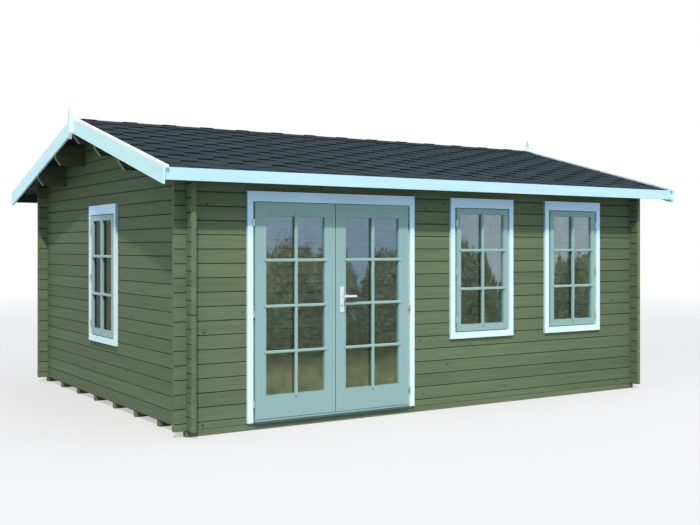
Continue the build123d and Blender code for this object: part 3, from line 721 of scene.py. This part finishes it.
def shingle_row(shape, x0, x1, upper, foot, phase):
    """One row of felt: its upper edge lies on the boards and its tabs on the row below."""
    def height(y):
        return SHINGLE_LIFT * (y - upper) / (foot - upper)

    edge = tab_edge(x0, x1, foot, phase)
    for (ax, ay), (bx, by) in zip(edge, edge[1:]):
        if bx - ax < 1e-5:
            continue
        outline = [(ax, upper), (bx, upper), (bx, by), (ax, ay)]
        bottom = [(x, y, height(y)) for x, y in outline]
        top = [(x, y, z + SHINGLE_THICKNESS) for x, y, z in bottom]
        faces = [(0, 1, 2, 3), (4, 7, 6, 5), (3, 2, 6, 7), (1, 0, 4, 5)]
        if ax <= x0 + 1e-6:
            faces.append((0, 3, 7, 4))
        if bx >= x1 - 1e-6:
            faces.append((2, 1, 5, 6))
        shape.solid(bottom + top, faces)


def lay_shingles(name, sign, node):
    """Rows of tabs from the eaves to the ridge, every second row set over by half a period."""
    x0, x1 = ROOF_LOW.x, ROOF_HIGH.x
    shape = Shape()
    shape.box((x0, SLOPE - STARTER_DEPTH, 0.0), (x1, SLOPE, STARTER_THICKNESS))
    foot, row = SHINGLE_LOWEST, 0
    while foot > 0.03:
        upper = max(foot - SHINGLE_LAP * SHINGLE_ROW, 0.002)
        shingle_row(shape, x0, x1, upper, foot, SHINGLE_PHASE + (row % 2) * SHINGLE_PERIOD / 2)
        foot -= SHINGLE_ROW
        row += 1
    shape.moved(slope_place(sign))
    piece = shape.obj(name, slate, "cabin", "shingle", replaces=(node,))
    piece.data.materials.append(felt_edge)
    for face in piece.data.polygons:
        if abs(face.normal.dot(slope_out(sign))) < 0.6:
            face.material_index = 1


lay_shingles("front_shingle_rows", 1, "front_shingles")
lay_shingles("back_shingle_rows", -1, "back_shingles")

RIDGE_STEP, RIDGE_LENGTH, RIDGE_WIDTH = 0.200, 0.245, 0.150
RIDGE_RISE = 0.0052                # underside of the folded pieces over the shingle layer's ridge
# Thickness of a folded piece at its lapping and at its far end: square to the slope, and at the fold.
RIDGE_NEAR, RIDGE_FAR = (0.0036, 0.0037), (0.0030, 0.0031)


def lay_ridge():
    """Folded pieces of felt over the ridge, each lapping the one before."""
    low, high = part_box("ridge_strip")
    shape = Shape()
    base = ROOF_HIGH.z + RIDGE_RISE
    faces = [(0, 1, 2, 3), (7, 6, 5, 4), (0, 4, 5, 1), (1, 5, 6, 2), (2, 6, 7, 3), (3, 7, 4, 0)]
    drop = RIDGE_WIDTH * math.sin(PITCH)
    x = low.x
    while x < high.x - 0.02:
        x_far = min(x + RIDGE_LENGTH, high.x)
        for sign in (1, -1):
            y, out = -sign * RIDGE_WIDTH * math.cos(PITCH), slope_out(sign)
            lower = [
                Vector((x, 0, base)), Vector((x, y, base - drop)),
                Vector((x_far, y, base - drop)), Vector((x_far, 0, base)),
            ]
            upper = [
                Vector((x, 0, base + RIDGE_NEAR[1])), lower[1] + out * RIDGE_NEAR[0],
                lower[2] + out * RIDGE_FAR[0], Vector((x_far, 0, base + RIDGE_FAR[1])),
            ]
            shape.solid(lower + upper, faces)
        x += RIDGE_STEP
    return shape.obj("ridge_caps", slate, "cabin", "shingle", replaces=("ridge_strip",))


lay_ridge()


# ---------------------------------------------------------------- boards
BOARD_WIDTH = 0.096
SOFFIT_THICKNESS, SOFFIT_GROOVE, SOFFIT_GAP = 0.019, 0.006, 0.0004
FLOOR_CHAMFER, FLOOR_GAP = 0.0015, 0.0006


def even_boards(x0, x1, gap):
    """The ends of equal boards that fill a length, with a gap after each."""
    count = round((x1 - x0) / BOARD_WIDTH)
    width = (x1 - x0) / count
    return [(x0 + k * width, x0 + (k + 1) * width - gap) for k in range(count)]


def trim_ridge(shape, sign):
    """Cut the boards' upper ends plumb, so that the two slopes meet at the ridge."""
    for i, p in enumerate(shape.points):
        if p.y * sign > 0 or abs(p.y) < 0.02:
            shape.points[i] = Vector((p.x, 0.0, p.z + abs(p.y) * math.tan(PITCH)))


def lay_soffit(name, sign, node):
    """Grooved boards from the ridge to the eaves, seen from below past the gables and inside."""
    shape = Shape()
    foot = -SOFFIT_THICKNESS
    for a, b in even_boards(ROOF_LOW.x, ROOF_HIGH.x, SOFFIT_GAP):
        outline = [
            (a, 0, 0), (a, 0, foot + SOFFIT_GROOVE), (a + SOFFIT_GROOVE, 0, foot),
            (b - SOFFIT_GROOVE, 0, foot), (b, 0, foot + SOFFIT_GROOVE), (b, 0, 0),
        ]
        shape.prism(outline, (0, SLOPE, 0))
    shape.moved(slope_place(sign))
    trim_ridge(shape, sign)
    return shape.obj(name, soffit_stain_and_shade, "cabin", "roof_boards", replaces=(node,))


lay_soffit("front_soffit_boards", 1, "front_roof_boards")
lay_soffit("back_soffit_boards", -1, "back_roof_boards")


def lay_floor():
    """Floor boards from the front to the back, with small chamfers."""
    low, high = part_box("floor_deck")
    shape = Shape()
    c = FLOOR_CHAMFER
    for a, b in even_boards(low.x, high.x, FLOOR_GAP):
        a, b = a + FLOOR_GAP / 2, b + FLOOR_GAP / 2
        outline = [
            (a, low.y, low.z), (b, low.y, low.z), (b, low.y, high.z - c),
            (b - c, low.y, high.z), (a + c, low.y, high.z), (a, low.y, high.z - c),
        ]
        shape.prism(outline, (0, high.y - low.y, 0))
    return shape.obj("floor_boards", floor_wood, "cabin", "floor_wood", replaces=("floor_deck",))


lay_floor()


# ---------------------------------------------------------------- glazing bars, beads and screws
BAR_WIDTH, BAR_DEPTH = 0.026, 0.010        # the flat strip in front of the frame
BAR_BODY = 0.020                   # width of the part that reaches back to the pane
BAR_OVER = 0.018                   # lap of the strips over the frame
BAR_STEP = 0.0006                  # the upright strip over the level ones
PIN_DROP, PIN_RADIUS, PIN_HEIGHT = 0.006, 0.0045, 0.0022
BEAD_WIDTH, BEAD_FRONT, BEAD_BACK = 0.004, 0.012, 0.009
DOOR_LEVELS = (1.385, 1.007, 0.630)
WINDOW_LEVELS = (1.464, 1.104)
GABLE_DROP = COURSE / 2            # of the gable window, which follows the gable's logs


def bar_outline():
    """Section of a strip: flat back and front, sloping sides."""
    w, d = BAR_WIDTH / 2, BAR_DEPTH
    return [(-w, 0), (-w, -d * 0.45), (-w * 0.62, -d), (w * 0.62, -d), (w, -d * 0.45), (w, 0)]


def grid_bars(x0, x1, z0, z1, front, pane, levels):
    """Bars in front of a pane: strips that lap over the frame, with bodies back to the pane."""
    shape = Shape()
    mid = (x0 + x1) / 2
    body = BAR_BODY / 2
    for z in levels:
        outline = [(x0 - BAR_OVER, front + d, z + w) for w, d in bar_outline()]
        shape.prism(outline, (x1 - x0 + 2 * BAR_OVER, 0, 0))
        shape.box((x0, front, z - body), (mid - body, pane, z + body))
        shape.box((mid + body, front, z - body), (x1, pane, z + body))
    outline = [(mid + w, front - BAR_STEP + d, z0 - BAR_OVER) for w, d in bar_outline()]
    shape.prism(outline, (0, 0, z1 - z0 + 2 * BAR_OVER))
    shape.box((mid - body, front, z0), (mid + body, pane, z1))
    return shape


def grid_pin(x, z0, front):
    """Head of the screw that holds the upright strip, just below its foot."""
    shape = Shape()
    z = z0 - BAR_OVER - PIN_DROP
    shape.rod((x, front, z), (x, front - PIN_HEIGHT, z), PIN_RADIUS, 12)
    return shape


def beads(x0, x1, z0, z1, back, front):
    """Strips that hold the pane, round the inside of its opening, on both of its faces."""
    shape = Shape()
    w = BEAD_WIDTH
    for near, far in ((front - BEAD_FRONT, front), (back, back + BEAD_BACK)):
        for xa, xb in ((x0, x0 + w), (x1 - w, x1)):
            shape.box((xa, near, z0), (xb, far, z1))
        for za, zb in ((z0, z0 + w), (z1 - w, z1)):
            shape.box((x0 + w, near, za), (x1 - w, far, zb))
    return shape


def dress_leaf(side):
    low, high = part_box(side + "_leaf_glass")
    body = side + "_door"
    grid = grid_bars(low.x, high.x, low.z, high.z, LEAF_FRONT, low.y, DOOR_LEVELS)
    grid.obj(side + "_leaf_bars", bar_paint, body, "joinery", bevel=0.0012)
    inner = beads(low.x, high.x, low.z, high.z, high.y, low.y)
    inner.obj(side + "_leaf_beads", joinery_z, body, "joinery", bevel=0.002)
    pin = grid_pin((low.x + high.x) / 2, low.z, LEAF_FRONT)
    pin.obj(side + "_leaf_grid_pin", dark_metal, body, "hinge_steel")


dress_leaf("left")
dress_leaf("right")


# ---------------------------------------------------------------- windows
WINDOWS = (("window_one", 0.456, -1), ("window_two", 1.644, 1), ("gable_window", 0.0, -1))
SASH_HALF = 0.311                  # half the width of a sash
PANE_HALF, PANE_FOOT, PANE_HEAD = 0.263, 0.768, 1.804
PANE_FRONT, PANE_BACK = -1.954, -1.946
HINGE_HEIGHTS = (0.815, 1.265, 1.715)
HINGE_OUT, HINGE_FRONT = 0.008, 0.006      # the hinge's axis, past the sash's edge and before its face
# Turned parts of a hinge, from and to what height over its middle, with their radius.
HINGE_PARTS = (
    (-0.026, -0.0005, 0.0055), (0.0005, 0.026, 0.0055), (0.026, 0.029, 0.0035), (-0.029, -0.026, 0.0035)
)
STEM_HEIGHT, STEM_RADIUS = 0.012, 0.0028
HANDLE_HEIGHT = 1.288
HANDLE_INSET = 0.013               # of the handle's axis from the sash's edge


def window_hinges(centre, hinge_side, drop):
    """Hinge barrels at one edge of a sash, with a stem into the sash and one into the frame."""
    shape = Shape()
    edge = centre + hinge_side * SASH_HALF
    x, y = edge + hinge_side * HINGE_OUT, LEAF_FRONT - HINGE_FRONT
    for z in HINGE_HEIGHTS:
        z -= drop
        for low, high, radius in HINGE_PARTS:
            shape.rod((x, y, z + low), (x, y, z + high), radius)
        up, down = z + STEM_HEIGHT, z - STEM_HEIGHT
        shape.rod((x, y, up), (edge - hinge_side * 0.004, LEAF_FRONT + 0.012, up), STEM_RADIUS, 10)
        shape.rod((x, y, down), (x + hinge_side * 0.009, LEAF_FRONT + 0.030, down), STEM_RADIUS, 10)
    return shape


def window_handle(centre, hinge_side, drop):
    """Lever handle inside, on the stile away from the hinges: a plate, a neck and a level grip."""
    shape = Shape()
    x, z = centre - hinge_side * (SASH_HALF - HANDLE_INSET), HANDLE_HEIGHT - drop
    plate, neck, grip = LEAF_BACK + 0.007, LEAF_BACK + 0.036, LEAF_BACK + 0.048
    shape.box((x - 0.011, LEAF_BACK, z - 0.035), (x + 0.011, plate, z + 0.035))
    shape.rod((x, plate, z), (x, neck, z), 0.007)
    start, end = sorted((x - hinge_side * 0.010, x + hinge_side * 0.078))
    shape.box((start, neck, z - 0.009), (end, grip, z + 0.009))
    return shape


def turned_to_gable(shape):
    """A front window's shape, made round x = 0, turned to sit in the left gable."""
    return shape.moved(
        Matrix.Translation((LEFT - FRONT, 0, 0)) @ Matrix.Rotation(math.radians(-90), 4, "Z")
    )


def dress_window(name, centre, hinge_side):
    gable = name == "gable_window"
    drop = GABLE_DROP if gable else 0.0
    x0, x1, z0, z1 = centre - PANE_HALF, centre + PANE_HALF, PANE_FOOT - drop, PANE_HEAD - drop
    grid = grid_bars(x0, x1, z0, z1, LEAF_FRONT, PANE_FRONT, [z - drop for z in WINDOW_LEVELS])
    inner = beads(x0, x1, z0, z1, PANE_BACK, PANE_FRONT)
    pin = grid_pin(centre, z0, LEAF_FRONT)
    hinges = window_hinges(centre, hinge_side, drop)
    handle = window_handle(centre, hinge_side, drop)
    parts = [
        (grid, name + "_bars", bar_paint, "joinery", 0.0012),
        (inner, name + "_beads", joinery_z, "joinery", 0.002),
        (pin, name + "_grid_pin", dark_metal, "hinge_steel", 0),
        (hinges, name + "_hinges", hinge_metal, "hinge_steel", 0.0006),
        (handle, name + "_inner_handle", handle_metal, "handle_metal", 0.003),
    ]
    for shape, label, material, slot, bevel in parts:
        if gable:
            turned_to_gable(shape)
        shape.obj(label, material, "cabin", slot, bevel=bevel)


for window in WINDOWS:
    dress_window(*window)


# ---------------------------------------------------------------- lock
LOCK_X, LOCK_Z = -1.124, 0.995
PLATE_THICKNESS = 0.006            # of the handle's plates
LOCK_OUT = 0.003                   # of the cylinder past its plate
LOCK_RADIUS, LOCK_HALF, LOCK_DROP = 0.0052, 0.0026, 0.015


def lock_cylinders():
    """Key cylinder under the lever, in both plates: a round head with a narrow tail below it."""
    shape = Shape()
    x, z = LOCK_X, LOCK_Z
    for face, out in ((LEAF_FRONT - PLATE_THICKNESS, -1), (LEAF_BACK + PLATE_THICKNESS, 1)):
        end = face + out * LOCK_OUT
        shape.rod((x, face, z), (x, end, z), LOCK_RADIUS)
        shape.box((x - LOCK_HALF, min(face, end), z - LOCK_DROP), (x + LOCK_HALF, max(face, end), z))
    return shape.obj("lock_cylinders", dark_metal, "right_door", "handle_metal", bevel=0.0005)


lock_cylinders()


# ---------------------------------------------------------------- stage, light and camera
FLOOR_HALF, FLOOR_DROP = 120.0, 0.0005
FLOOR_SEEN = srgb(214, 214, 213)   # the floor's colour where it is seen
FLOOR_LIT = srgb(158, 162, 156)    # the floor's colour for light that it throws back
WHITE = (1, 1, 1, 1)
SKY_COLOUR = (0.84, 1.0, 1.20, 1)
SKY_LEVEL, SKY_TILT = 0.645, -0.150        # strength, and how it changes from the front to the back
SUN_SIDE, SUN_HEIGHT = math.radians(30.5), math.radians(49.5)
SUN_STRENGTH, SUN_ANGLE, SUN_COLOUR = 2.98, math.radians(2), (1.0, 0.89, 0.84)
ROOM_PLACE, ROOM_POWER, ROOM_COLOUR = (0.0, 0.3, 1.75), 32, (0.80, 0.74, 1.0)
CAMERA_PLACE, CAMERA_LOOK = (-5.628, -9.122, 1.488), (0.5402, 0.8415, 0)
CAMERA_LENS, CAMERA_SHIFT = 50.53, -14.74 / 700


def placed(name, data):
    """A new object in the scene."""
    obj = bpy.data.objects.new(name, data)
    bpy.context.scene.collection.objects.link(obj)
    return obj


def aim(obj, direction):
    obj.rotation_euler = Vector(direction).to_track_quat("-Z", "Y").to_euler()


def floor_material():
    """Plain pale floor that turns white with distance, with a painted soft shadow behind the left gable."""
    t = Coat("pale_floor")
    x, y, _ = t.axes()
    away = t.node("ShaderNodeVectorMath", operation="LENGTH")
    t.feed(away.inputs[0], t.place)
    far = t.ramp(away.outputs["Value"], 7.0, 26.0, 0, 1, True)
    shown = t.seen()
    pale = t.times(FLOOR_SEEN, t.ramp(t.noise(0.4, 2), 0.3, 0.7, 0.995, 1.005))
    # painted shadow: the floor darker behind and beside the left gable
    left = t.math("MULTIPLY", t.ramp(x, -4.6, -2.7, 0, 1, True), t.ramp(y, -3.2, 0.4, 0, 1, True))
    pale = t.times(pale, t.math("MULTIPLY_ADD", left, -0.22, 1.0))
    t.feed(t.shader.inputs["Base Color"], t.mix(shown, FLOOR_LIT, pale))
    t.shader.inputs["Roughness"].default_value = 0.85
    t.shader.inputs["Specular IOR Level"].default_value = 0.1
    glow = t.node("ShaderNodeEmission")
    share = t.math("MULTIPLY", t.math("MULTIPLY_ADD", far, 0.5, 0.5), shown)
    return t.finish_with(t.blend(share, t.shader, glow))


def add_floor():
    half = FLOOR_HALF
    mesh = bpy.data.meshes.new("floor")
    corners = [(-half, -half, 0), (half, -half, 0), (half, half, 0), (-half, half, 0)]
    mesh.from_pydata(corners, [], [(0, 1, 2, 3)])
    mesh.materials.append(floor_material())
    obj = placed("floor", mesh)
    obj.location.z = -FLOOR_DROP


def add_world():
    """White for what is seen, and a soft cool light, stronger from the front, for the rest."""
    world = bpy.data.worlds.new("studio")
    bpy.context.scene.world = world
    world.use_nodes = True
    world.node_tree.nodes.clear()
    t = NodeTree(world.node_tree)
    white = t.node("ShaderNodeBackground")
    white.inputs["Color"].default_value = WHITE
    light = t.node("ShaderNodeBackground")
    light.inputs["Color"].default_value = SKY_COLOUR
    depth = t.axes(t.coordinates["Generated"])[1]
    t.feed(light.inputs["Strength"], t.math("MULTIPLY_ADD", depth, SKY_TILT, SKY_LEVEL))
    out = t.node("ShaderNodeOutputWorld")
    t.link(t.blend(t.seen(), light, white).outputs[0], out.inputs["Surface"])


def add_sun():
    """The key light, from the left of the front, where the shadows of the eaves and the gable put it."""
    lamp = bpy.data.lights.new("key", "SUN")
    lamp.energy = SUN_STRENGTH
    lamp.angle = SUN_ANGLE
    lamp.color = SUN_COLOUR
    level = math.cos(SUN_HEIGHT)
    aim(
        placed("key", lamp),
        (math.sin(SUN_SIDE) * level, math.cos(SUN_SIDE) * level, -math.sin(SUN_HEIGHT)),
    )


def add_room_lamp():
    """A weak lamp that lets the back wall be seen through the panes."""
    lamp = bpy.data.lights.new("room", "POINT")
    lamp.energy = ROOM_POWER
    lamp.color = ROOM_COLOUR
    lamp.shadow_soft_size = 0.4
    obj = placed("room", lamp)
    obj.location = ROOM_PLACE
    obj.visible_camera = False
    obj.visible_glossy = False
    obj.visible_transmission = False


def add_camera():
    data = bpy.data.cameras.new("camera")
    data.lens = CAMERA_LENS
    data.sensor_width = 36.0
    data.shift_y = CAMERA_SHIFT
    data.clip_start = 0.1
    data.clip_end = 400
    obj = placed("camera", data)
    obj.location = CAMERA_PLACE
    aim(obj, CAMERA_LOOK)
    bpy.context.scene.camera = obj


add_floor()
add_room_lamp()
add_world()
add_sun()
add_camera()
bpy.context.scene.view_settings.view_transform = "Standard"
